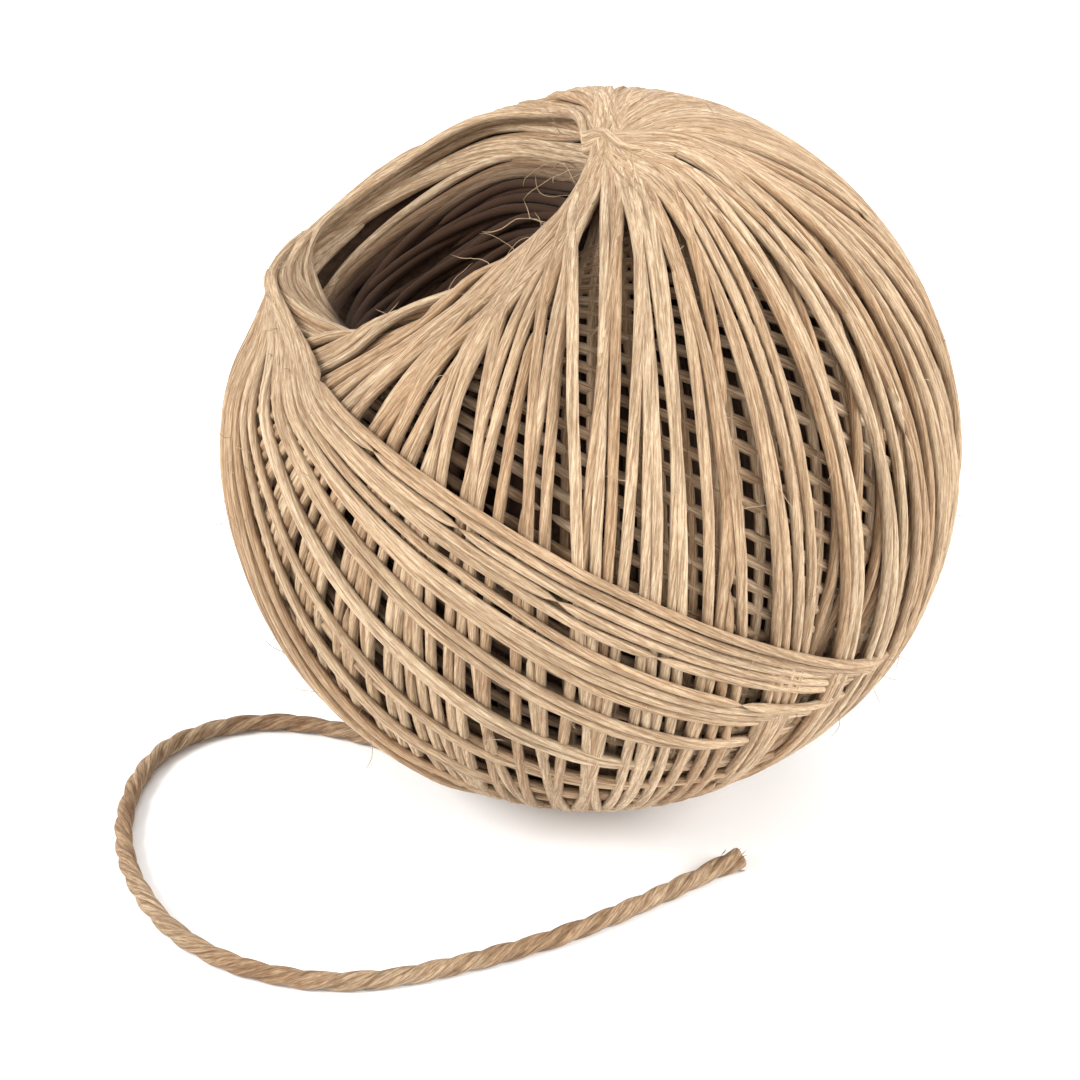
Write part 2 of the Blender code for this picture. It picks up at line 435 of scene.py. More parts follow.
def run_of_turns(knots, pivot, deepest, seed, wander=0.1):
    """Directions along turns whose planes are given at some moments, counted in turns."""
    rng = np.random.default_rng(seed)
    moments = np.array([knot[0] for knot in knots])
    normals = unit(np.array([knot[1] for knot in knots]))
    time = np.arange(moments[0], moments[-1], 1.0 / 900.0)
    index = np.clip(np.searchsorted(moments, time, side="right") - 1, 0, len(moments) - 2)
    share = smooth((time - moments[index]) / (moments[index + 1] - moments[index]))
    normal = unit(normals[index] * (1.0 - share[:, None]) + normals[index + 1] * share[:, None])
    nearest = unit(pivot - normal * (normal @ pivot)[:, None])
    ahead = np.cross(normal, nearest)
    phase = (time % 1.0) * 2.0 * np.pi - np.pi
    directions = nearest * np.cos(phase)[:, None] + ahead * np.sin(phase)[:, None]
    sway = np.zeros(len(time))
    for waves, size in ((4.3, 0.5), (9.7, 0.35), (17.3, 0.22)):
        start, drift = rng.uniform(0.0, 2.0 * np.pi), rng.uniform(0.9, 1.1)
        sway += size * np.sin(time * 2.0 * np.pi * waves * drift + start)
    directions = unit(directions + normal * (sway * wander / BALL_RADIUS)[:, None])
    return held_by_spindle(directions, deepest)


def leaning(lean, azimuth):
    """A turn's plane whose nearest point to the mouth's axis is at this azimuth."""
    return direction_at(np.array([lean]), np.array([np.radians(azimuth + 180.0)]))[0]


TURN_LEAN = 60.5  # degrees between the winding axis and a turn's square direction


def precession(first, last, step, bundle, gap, seed):
    """Planes of turns that advance round the winding axis, with a gap after each bundle."""
    rng = np.random.default_rng(seed)
    planes, azimuth, count = [], first, 0
    while azimuth < last:
        planes.append(leaning(TURN_LEAN + rng.normal(0.0, 0.25), azimuth))
        count += 1
        azimuth += step * rng.uniform(0.76, 1.24) + (gap if count % bundle == 0 else 0.0)
    return planes


def plain_knots(planes):
    """Knots for turns that shift to the next plane on the far half of each turn."""
    knots = []
    for turn, plane in enumerate(planes):
        knots += [(turn + 0.02, plane), (turn + 0.62, plane)]
    return knots


FAN_GAPS = (
    # heading of the gap, half its width, in degrees
    (84.0, 0.2),
    (90.0, 0.7),
    (96.0, 0.8),
    (102.0, 0.8),
    (108.0, 0.9),
    (118.0, 1.1),
    (128.5, 1.1),
    (138.0, 1.2),
    (147.8, 0.85),
    (157.6, 0.8),
    (167.2, 1.5),
    (175.3, 1.5),
    (185.4, 1.1),
    (194.7, 1.0),
    (204.9, 2.0),
    (216.3, 2.5),
    (225.6, 2.0),
    (234.9, 1.4),
    (243.5, 1.2),
    (251.0, 1.0),
    (258.0, 0.6),
)
FAN_PITCH = 1.5  # degrees between the fan's turns
EDGE_PITCH = 1.95  # and between those along the mouth's front edge
EDGE_HEADING = 115.0
FAN_RISE = (
    # heading of a turn, rise of its plane's square direction
    (84.0, 0.73),
    (90.0, 0.64),
    (100.0, 0.51),
    (113.6, 0.43),
    (137.5, 0.21),
    (142.0, 0.15),
    (163.0, 0.01),
    (200.0, 0.02),
    (240.0, 0.0),
)


def fan_planes(seed):
    """Headings of the fan's turns: a bundle between each gap and the next."""
    rng = np.random.default_rng(seed)
    headings = []
    for (before, half_before), (after, half_after) in zip(FAN_GAPS, FAN_GAPS[1:]):
        first, last = before + half_before, after - half_after
        pitch = FAN_PITCH if before > EDGE_HEADING else EDGE_PITCH
        count = int((last - first) / pitch)
        for place in range(count):
            heading = first + (last - first) * (place + 0.5) / count
            headings.append(heading + rng.normal(0.0, 0.13))
    return headings


def upright(heading, rise):
    """A turn's plane by its heading round the vertical."""
    angle = np.radians(heading)
    return from_world([np.cos(angle), np.sin(angle), rise])


def fan_knots(seed):
    """Knots for turns that hug the mouth's front edge and then open into a fan."""
    knots = []
    rises = np.array(FAN_RISE)
    rng = np.random.default_rng(seed + 1)
    for turn, heading in enumerate(fan_planes(seed)):
        spread = 0.05 if heading < 130.0 else 0.08
        rise = np.interp(heading, rises[:, 0], rises[:, 1]) + rng.uniform(-spread, spread)
        front = upright(heading, rise)
        back = upright(heading, 0.02 + 0.12 * rise + rng.normal(0.0, 0.02))
        nearest = 180.0 - np.degrees(np.arctan2(-front[1], -front[0]) % (2.0 * np.pi))
        hug = max(6.0, abs(nearest) * 0.57) / 360.0 if rise > 0.03 else 0.02
        knots += [(turn + 0.04, front), (turn + 0.5 - hug, front)]
        knots += [(turn + 0.5, back), (turn + 0.68, back)]
    return knots


BAND_TOP = from_world([0.48, 0.20, 0.86])
# How far each turn of the band is turned down about the mouth's corner, in degrees
BAND_TURNS = (92.0, 88.4, 82.0, 80.4, 74.0, 68.0, 65.6, 64.0, 58.0, 56.4, 49.5, 47.9)
BAND_TURNS += (39.5, 31.0, 29.4, 21.6, 20.0, 15.0, 13.4, 11.8, 10.2)
BAND_TURNS += (6.8, 5.1, 3.4, 1.7, 0.0)


def band_knots(seed):
    """Knots for turns that leave the mouth's corner and slant down over the front."""
    rng = np.random.default_rng(seed)
    knots = []
    for turn, drop in enumerate(BAND_TURNS):
        front = rotated(BAND_TOP, CORNER, -drop)
        outside = 1.4 + 9.5 * (drop / 90.0) ** 0.8 + rng.uniform(-0.5, 0.5)
        front = unit(front + CORNER * np.tan(np.radians(outside)))
        back = leaning(60.0 - 0.09 * drop + rng.normal(0.0, 0.8), 6.0 - 0.75 * drop)
        knots += [(turn + 0.10, back), (turn + 0.32, back)]
        knots += [(turn + 0.56, front), (turn + 0.96, front)]
    return knots


WALL_LEVELS = (27.5, -4.0, 33)  # the first and last loop, in degrees from the axis, and how many
LIP_FEET = (11.0, 31.0, 24)


def wall_loops(seed):
    """Loops round the wall of the mouth, each a little askew."""
    rng = np.random.default_rng(seed)
    runs = []
    for level in np.linspace(*WALL_LEVELS):
        turns = rng.uniform(1.1, 1.5)
        azimuth = np.arange(0.0, turns * 2.0 * np.pi, 0.03) + rng.uniform(0.0, 6.28)
        tilt, phase = rng.uniform(1.0, 4.0), rng.uniform(0.0, 6.28)
        drift = np.linspace(-0.8, 0.8, len(azimuth))
        polar = level + drift + tilt * np.cos(azimuth - phase)
        runs.append(direction_at(np.clip(polar, -6.0, 28.0), azimuth))
    return runs


def lip_turns(seed):
    """Turns that climb slantwise out of the mouth and round its far lip."""
    rng = np.random.default_rng(seed)
    runs = []
    for foot in np.linspace(*LIP_FEET):
        azimuth = np.radians(np.arange(50.0, -170.0, -1.0))
        turned = np.degrees(azimuth)
        head = 30.5 + rng.uniform(-1.5, 2.5)
        shift = rng.uniform(-12.0, 12.0)
        polar = foot + (head - foot) * smooth((40.0 + shift - turned) / 84.0)
        polar = polar + 9.0 * smooth((-75.0 + shift - turned) / 90.0)
        runs.append(direction_at(polar, azimuth))
    return runs


# The layers of the families, in millimetres from the layer of the fan's left side
WALL_LAYER = -0.9
BASE_LAYER = -3.2
FAR_LAYER = -0.9
RIGHT = from_world([1.0, 0.0, 0.0])
DOWN = from_world([0.0, 0.0, -1.0])
UPPER_RIGHT = from_world([0.85, 0.0, 0.35])


def under_layer(directions):
    """The cross turns lie deeper towards the left."""
    return -1.15 - 0.7 * smooth((0.32 - directions @ RIGHT) / 0.35)


def fan_layer(directions):
    """The fan stands higher on its right side."""
    return 0.8 * smooth((directions @ UPPER_RIGHT - 0.1) / 0.6)


def band_layer(directions):
    """The band lies outermost, and sinks at its right end and under the lowest turns."""
    right, down = directions @ RIGHT, directions @ DOWN
    layer = 0.8 - 0.35 * band_share(directions)
    layer -= 0.8 * smooth((right - 0.62) / 0.3)
    layer -= 0.4 * smooth((down - 0.4) / 0.4)
    layer -= 2.4 * smooth((right + 0.55) / 0.5) * smooth((down - 0.24) / 0.26)
    return layer


# ---------------------------------------------------------------- meshes


def to_world(points):
    """From the ball's own millimetres to metres in the row's frame."""
    return (points @ WINDING.T + BALL_CENTRE) * MM


def mesh_object(name, points, faces, material):
    mesh = bpy.data.meshes.new(name)
    mesh.vertices.add(len(points))
    mesh.vertices.foreach_set("co", np.ascontiguousarray(points, np.float32).ravel())
    corners = faces.shape[1]
    mesh.loops.add(len(faces) * corners)
    mesh.loops.foreach_set("vertex_index", np.ascontiguousarray(faces, np.int32).ravel())
    mesh.polygons.add(len(faces))
    mesh.polygons.foreach_set("loop_start", np.arange(0, len(faces) * corners, corners, dtype=np.int32))
    mesh.update(calc_edges=True)
    mesh.validate()
    mesh.polygons.foreach_set("use_smooth", np.ones(len(mesh.polygons), bool))
    mesh.materials.append(material)
    piece = bpy.data.objects.new(name, mesh)
    bpy.context.scene.collection.objects.link(piece)
    return piece


def add_vector(mesh, name, values):
    layer = mesh.attributes.new(name, "FLOAT_VECTOR", "POINT")
    layer.data.foreach_set("vector", np.ascontiguousarray(values, np.float32).ravel())


def add_value(mesh, name, values):
    layer = mesh.attributes.new(name, "FLOAT", "POINT")
    layer.data.foreach_set("value", np.ascontiguousarray(values, np.float32).ravel())


def tube_faces(rings, sides, offset):
    """Quads between the rings."""
    ring = np.arange(rings - 1)[:, None] * sides
    side = np.arange(sides)[None, :]
    after = (side + 1) % sides
    quads = np.stack([ring + side, ring + after, ring + sides + after, ring + sides + side], -1)
    return quads.reshape(-1, 4) + offset


def grain_of(around, along):
    """Where each point of a tube lies among its fibres, for the streaks."""
    shape = (len(along), len(around))
    columns = (np.cos(around), np.sin(around), (along * 0.16)[:, None])
    return np.stack([np.broadcast_to(column, shape) for column in columns], -1)


class Strands:
    """Collects tubes of twisted twine into one mesh."""

    def __init__(self):
        self.points, self.faces, self.fibre, self.tint, self.depth = [], [], [], [], []
        self.count = 0

    def add(self, line, outward, radius, sides, lay, lobe, oval, tint, depth, start=0.0):
        """A tube along a line in millimetres. The plies turn once in every lay."""
        rings = len(line)
        ahead = unit(np.gradient(line, axis=0))
        outward = unit(outward - ahead * np.einsum("ij,ij->i", outward, ahead)[:, None])
        across = np.cross(ahead, outward)
        along = lengths_along(line)
        along = along + start
        around = np.arange(sides) / sides * 2.0 * np.pi
        turned = around[None, :] + (along / lay * 2.0 * np.pi)[:, None]
        size = radius * (1.0 - lobe + lobe * np.cos(3.0 * around))[None, :] * np.ones((rings, 1))
        taper = np.minimum(1.0, (np.minimum(np.arange(rings), np.arange(rings)[::-1]) + 0.15) / 1.5)
        size = size * taper[:, None]
        ring = (
            line[:, None, :]
            + (np.cos(turned) * size * (1.0 - oval))[..., None] * outward[:, None, :]
            + (np.sin(turned) * size * (1.0 + oval))[..., None] * across[:, None, :]
        )
        self.points.append(ring.reshape(-1, 3))
        self.faces.append(tube_faces(rings, sides, self.count))
        self.count += rings * sides
        grain = grain_of(around, along) + np.array([tint * 37.0, tint * 11.0, 0.0])
        self.fibre.append(grain.reshape(-1, 3))
        self.tint.append(np.full(rings * sides, tint))
        self.depth.append(np.repeat(depth, sides))

    def build(self, name, material, world=True):
        points = np.concatenate(self.points)
        points = to_world(points) if world else points * MM
        points[:, 2] = np.maximum(points[:, 2], 0.03 * MM)
        piece = mesh_object(name, points, np.concatenate(self.faces), material)
        add_vector(piece.data, "fibre", np.concatenate(self.fibre))
        add_value(piece.data, "tint", np.concatenate(self.tint))
        add_value(piece.data, "depth", np.concatenate(self.depth))
        return piece


TURN_LENGTH = 245.0
SHADE_FROM = 24.0  # degrees from the mouth's axis where its painted shade starts at the front
SHADE_LATER = 4.0  # how many degrees further in it starts at the back
SHADE_RATE = 0.9  # the depth that each further degree counts as, in mm


def strands_of(strands, winding, step, sides, lobe, seed):
    """Turns a laid winding into tubes, a turn or so at a time."""
    rng = np.random.default_rng(seed)
    heights = blurred(winding.heights, 3.0)
    stride = max(1, int(round(step / winding.SPACING)))
    stations = np.arange(0, len(heights), stride)
    polar, azimuth = spherical(winding.directions[stations])
    line, away = places(polar, azimuth, heights[stations])
    line = np.stack([blurred(line[:, axis], 0.8) for axis in range(3)], -1)
    # Painted shade: inside the mouth each degree past this adds to the depth, which darkens the turns'
    # colour.
    shaded = SHADE_FROM - SHADE_LATER * smooth(0.5 - np.cos(azimuth - MOUTH_DIP_HEADING))
    depth = -heights[stations] + SHADE_RATE * np.maximum(shaded - polar, 0.0)
    piece = int(round(TURN_LENGTH / step))
    tint = rng.uniform(0.0, 1.0)
    start = 0.0
    for first in range(0, len(stations) - 2, piece):
        last = min(first + piece + 1, len(stations))
        part = slice(first, last)
        tint = float(np.clip(tint + rng.normal(0.0, 0.3), 0.0, 1.0))
        if rng.uniform() < 0.3:
            tint = rng.uniform(0.0, 1.0)
        strands.add(
            line[part], away[part], winding.radius, sides, PLY_LAY, lobe, 0.05, tint, depth[part], start
        )
        start += TURN_LENGTH


# ---------------------------------------------------------------- materials


def nodes_of(material):
    material.use_nodes = True
    tree = material.node_tree
    return tree, tree.nodes, tree.links


def attribute(nodes, name):
    node = nodes.new("ShaderNodeAttribute")
    node.attribute_name = name
    return node


def mix_color(tree, share, first, second, blend="MIX"):
    node = tree.nodes.new("ShaderNodeMix")
    node.data_type = "RGBA"
    node.blend_type = blend
    for socket, value in ((node.inputs[0], share), (node.inputs[6], first), (node.inputs[7], second)):
        if isinstance(value, bpy.types.NodeSocket):
            tree.links.new(value, socket)
        elif isinstance(value, (int, float)):
            socket.default_value = value
        else:
            socket.default_value = (*value[:3], 1.0)
    return node.outputs[2]


def noise(tree, vector, scale, detail, roughness=0.55):
    node = tree.nodes.new("ShaderNodeTexNoise")
    node.inputs["Scale"].default_value = scale
    node.inputs["Detail"].default_value = detail
    node.inputs["Roughness"].default_value = roughness
    if vector is not None:
        tree.links.new(vector, node.inputs["Vector"])
    return node.outputs["Fac"]


def ramp(tree, value, low, high):
    node = tree.nodes.new("ShaderNodeMapRange")
    node.inputs["From Min"].default_value = low
    node.inputs["From Max"].default_value = high
    node.interpolation_type = "SMOOTHSTEP"
    tree.links.new(value, node.inputs["Value"])
    return node.outputs["Result"]


def twine_material(name, light, dark, deep, bump_depth, shade_start, shade_end):
    """Natural fibre twine: streaks along the plies, lighter and darker lengths, and painted shade that
    darkens the deeper turns.
    """
    material = bpy.data.materials.new(name)
    tree, nodes, links = nodes_of(material)
    shader = nodes["Principled BSDF"]
    grain = attribute(nodes, "fibre").outputs["Vector"]
    tint = attribute(nodes, "tint").outputs["Fac"]
    depth = attribute(nodes, "depth").outputs["Fac"]
    streak = noise(tree, grain, 5.5, 5.0, 0.62)
    fine = noise(tree, grain, 17.0, 3.0, 0.6)
    stretch = nodes.new("ShaderNodeVectorMath")
    stretch.operation = "MULTIPLY"
    stretch.inputs[1].default_value = (1.0, 1.0, 0.4)
    links.new(grain, stretch.inputs[0])
    broad = noise(tree, stretch.outputs[0], 2.3, 2.0)
    place = nodes.new("ShaderNodeTexCoord").outputs["Object"]
    patch = noise(tree, place, 38.0, 3.0)
    color = mix_color(tree, ramp(tree, streak, 0.32, 0.68), dark, light)
    warm = mix_color(tree, tint, (0.86, 0.77, 0.68), (1.12, 1.14, 1.14))
    color = mix_color(tree, 1.0, color, warm, "MULTIPLY")
    flecks = mix_color(tree, ramp(tree, fine, 0.60, 0.74), (1.0, 1.0, 1.0), (1.16, 1.15, 1.12))
    color = mix_color(tree, 1.0, color, flecks, "MULTIPLY")
    shades = mix_color(tree, ramp(tree, patch, 0.35, 0.65), (0.90, 0.90, 0.89), (1.05, 1.05, 1.05))
    color = mix_color(tree, 1.0, color, shades, "MULTIPLY")
    lines = mix_color(tree, ramp(tree, broad, 0.36, 0.62), (0.66, 0.60, 0.54), (1.13, 1.13, 1.12))
    color = mix_color(tree, 1.0, color, lines, "MULTIPLY")
    # Painted shade: the deeper a turn lies, the more its colour is mixed toward the dark shade colour.
    color = mix_color(tree, ramp(tree, depth, shade_start, shade_end), color, deep)
    links.new(color, shader.inputs["Base Color"])
    shader.inputs["Roughness"].default_value = 0.82
    shader.inputs["Specular IOR Level"].default_value = 0.25
    shader.inputs["Sheen Weight"].default_value = 0.12
    shader.inputs["Sheen Roughness"].default_value = 0.5
    shader.inputs["Sheen Tint"].default_value = (1.0, 0.93, 0.82, 1.0)
    height = nodes.new("ShaderNodeMath")
    height.operation = "ADD"
    links.new(streak, height.inputs[0])
    half = nodes.new("ShaderNodeMath")
    half.operation = "MULTIPLY"
    half.inputs[1].default_value = 0.5
    links.new(fine, half.inputs[0])
    links.new(half.outputs[0], height.inputs[1])
    bump = nodes.new("ShaderNodeBump")
    bump.inputs["Strength"].default_value = 0.7
    bump.inputs["Distance"].default_value = bump_depth * MM
    links.new(height.outputs[0], bump.inputs["Height"])
    links.new(bump.outputs["Normal"], shader.inputs["Normal"])
    return material


def core_shade_material():
    """The inside of the winding, seen only in the deepest gaps; its dark colour is painted shade."""
    material = bpy.data.materials.new("painted shade deep twine")
    tree, nodes, links = nodes_of(material)
    shader = nodes["Principled BSDF"]
    place = nodes.new("ShaderNodeTexCoord").outputs["Object"]
    grain = noise(tree, place, 700.0, 3.0)
    color = mix_color(tree, ramp(tree, grain, 0.3, 0.7), (0.062, 0.030, 0.016), (0.125, 0.066, 0.036))
    links.new(color, shader.inputs["Base Color"])
    shader.inputs["Roughness"].default_value = 0.95
    bump = nodes.new("ShaderNodeBump")
    bump.inputs["Distance"].default_value = 0.4 * MM
    links.new(grain, bump.inputs["Height"])
    links.new(bump.outputs["Normal"], shader.inputs["Normal"])
    return material


def wound_material():
    if "wound twine with painted shade" in bpy.data.materials:
        return bpy.data.materials["wound twine with painted shade"]
    own = settings()
    # The wound turns get painted shade from the gap shade colour, by depth.
    return twine_material(
        "wound twine with painted shade", own.light_color, own.dark_color, own.gap_shade_color, 0.10, 1.1, 4.2
    )


def mouth_shade_material():
    """The same twine with painted shade that darkens the inside of the mouth."""
    own = settings()
    return twine_material(
        "mouth twine with painted shade", own.light_color, own.dark_color, own.mouth_shade_color, 0.10, 1.1, 5.5
    )


def belongs(piece, node):
    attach(piece, "root")
    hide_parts(node)
    return piece


# ---------------------------------------------------------------- the loose end


def curve_through(route, parts):
    """Points of a smooth curve through the route's own points."""
    ends = [2.0 * route[0] - route[1], *route, 2.0 * route[-1] - route[-2]]
    found = []
    for first in range(len(route) - 1):
        before, start, end, after = ends[first : first + 4]
        for part in range(parts):
            share = part / parts
            found.append(
                0.5
                * (
                    2.0 * start
                    + (end - before) * share
                    + (2.0 * before - 5.0 * start + 4.0 * end - after) * share**2
                    + (3.0 * start - before - 3.0 * end + after) * share**3
                )
            )
    return np.array([*found, route[-1]])


def ply_section(sides, radius, crease):
    around = np.arange(sides) / sides * 2.0 * np.pi
    return around, radius * (1.0 - crease + crease * np.abs(np.cos(1.5 * around)) ** 0.8)


def loose_end_line():
    radius = LOOSE_END_DIAMETER / 2.0
    route = [np.array([x, y, radius + 0.02 * MM]) for x, y in LOOSE_END_ROUTE]
    line = curve_through(route, 10)
    along = lengths_along(line)
    line[:, 2] += 0.9 * MM * smooth(1.0 - along / (9.0 * MM))
    even = np.arange(0.0, along[-1], 0.55 * MM)
    return np.stack([np.interp(even, along, line[:, axis]) for axis in range(3)], -1)


class TWINE_OT_loose_end(bpy.types.Operator):
    """Lays the loose end of three twisted plies along the surface, with its cut end"""

    bl_idname = "twine.loose_end"
    bl_label = "Loose End"

    def execute(self, context):
        own = settings()
        line = loose_end_line()
        rings, sides = len(line), 24
        ahead = unit(np.gradient(line, axis=0))
        across = unit(np.cross(ahead, [0.0, 0.0, 1.0]))
        up = np.cross(across, ahead)
        along = lengths_along(line)
        around, size = ply_section(sides, LOOSE_END_DIAMETER / 2.0, LOOSE_END_CREASE)
        slack = 1.0 + 0.10 * np.sin(along / (23.0 * MM) * 2.0 * np.pi + 0.6)
        wound = np.cumsum(np.gradient(along) / slack) / LOOSE_END_LAY * 2.0 * np.pi
        turned = around[None, :] - wound[:, None]
        to_end = along[-1] - along
        swell = 1.0 + 0.16 * smooth(1.0 - to_end / (7.0 * MM)) - 0.06 * smooth(1.0 - along / (40 * MM))
        swell = swell + 0.03 * np.sin(along / (7.3 * MM) * 2.0 * np.pi)
        size = size[None, :] * swell[:, None]
        ring = (
            line[:, None, :]
            + (np.cos(turned) * size)[..., None] * up[:, None, :]
            + (np.sin(turned) * size)[..., None] * across[:, None, :]
        )
        points = ring.reshape(-1, 3)
        points[:, 2] = np.maximum(points[:, 2], 0.03 * MM)
        faces = tube_faces(rings, sides, 0)
        caps = []
        middle = [points[:sides].mean(0), points[-sides:].mean(0) + ahead[-1] * 0.2 * MM]
        points = np.concatenate([points, middle])
        last = (rings - 1) * sides
        for side in range(0, sides, 2):
            a, b, c = side, (side + 1) % sides, (side + 2) % sides
            caps.append((rings * sides, c, b, a))
            caps.append((rings * sides + 1, last + a, last + b, last + c))
        faces = np.concatenate([faces, np.array(caps)])
        material = twine_material(
            "loose twine fibre", own.tail_light_color, own.tail_dark_color, own.gap_shade_color, 0.16, 6.0, 9.0
        )
        piece = mesh_object("loose_end_plies", points, faces, material)
        grain = grain_of(around, along / MM).reshape(-1, 3)
        add_vector(piece.data, "fibre", np.concatenate([grain, grain[:1], grain[-1:]]))
        fade = np.repeat(0.5 + 0.45 * np.sin(along / (31.0 * MM) * 2.0 * np.pi), sides)
        add_value(piece.data, "tint", np.concatenate([fade, fade[:1], fade[-1:]]))
        add_value(piece.data, "depth", np.zeros(len(points)))
        belongs(piece, "loose_end")
        fibres = self.end_fibres(line[-1], ahead[-1], material)
        belongs(fibres, "loose_end")
        return {"FINISHED"}

    def end_fibres(self, tip, ahead, material):
        """Short fibres that stand out of the cut end."""
        rng = np.random.default_rng(41)
        strands = Strands()
        for _ in range(CUT_FIBRES):
            spread = rng.normal(0.0, 0.36, 3)
            spread -= ahead * (spread @ ahead)
            start = tip / MM - ahead * rng.uniform(1.0, 2.4) + spread
            start[2] = max(start[2], 0.15)
            aim = unit(ahead + spread * 0.25 + rng.normal(0.0, 0.09, 3))
            share = np.linspace(0.0, 1.0, 5)[:, None]
            bend = rng.normal(0.0, 0.25, 3)
            line = start + aim * share * rng.uniform(1.3, 2.2) + bend * share**2
            line[:, 2] = np.maximum(line[:, 2], 0.12)
            up = np.tile([0.1, 0.2, 0.97], (5, 1))
            strands.add(line, up, 0.06, 4, 9.0, 0.0, 0.0, rng.uniform(0.7, 1.4), np.zeros(5))
        return strands.build("loose_end_cut_fibres", material, world=False)


# ---------------------------------------------------------------- the wound ball


class TWINE_OT_core(bpy.types.Operator):
    """Makes the dark inner body of the winding that closes the deepest gaps, its darkness painted shade"""

    bl_idname = "twine.core"
    bl_label = "Inner Body"

    def execute(self, context):
        columns, polar = 96, np.concatenate([np.arange(-7.0, 60.0, 1.5), np.linspace(60.0, 179.0, 50)])
        azimuth = np.arange(columns) / columns * 2.0 * np.pi
        grid_polar, grid_azimuth = np.meshgrid(polar, azimuth, indexing="ij")
        depth = np.interp(grid_polar.ravel(), [-7.0, 20.0, 40.0], [-1.2, -3.0, -7.4])
        points, _ = places(grid_polar.ravel(), grid_azimuth.ravel(), depth)
        rows = len(polar)
        faces = []
        for row in range(rows - 1):
            for column in range(columns):
                after = (column + 1) % columns
                faces.append(
                    (
                        row * columns + column,
                        (row + 1) * columns + column,
                        (row + 1) * columns + after,
                        row * columns + after,
                    )
                )
        for row, flip in ((0, False), (rows - 1, True)):
            centre = points[row * columns : (row + 1) * columns].mean(0)
            points = np.concatenate([points, [centre]])
            for column in range(0, columns, 2):
                ring = [row * columns + (column + step) % columns for step in range(3)]
                quad = (len(points) - 1, *ring)
                faces.append(quad[:1] + quad[:0:-1] if flip else quad)
        piece = mesh_object("winding_core_painted_shade", to_world(points), np.array(faces), core_shade_material())
        belongs(piece, "ball")
        return {"FINISHED"}


EMPTY = -6.0  # the level of the surface before any turn is laid on it
SQUEEZE = 0.2  # how far a turn sinks into those below it
STRAY_FIBRES = 520
MOUTH_FIBRES = 30
PLY_LAY = 52.0  # the length in which a wound turn's plies go once round
MESH_PLAN = (
    # piece, spacing of its rings in mm, sides, depth of the creases between its plies
    ("mouth_wall_turns", 1.5, 8, 0.03),
    ("base_turns", 2.0, 6, 0.0),
    ("under_turns", 1.7, 8, 0.03),
    ("fan_turns", 1.6, 8, 0.03),
    ("far_turns", 1.5, 9, 0.03),
    ("band_turns", 1.3, 10, 0.03),
)


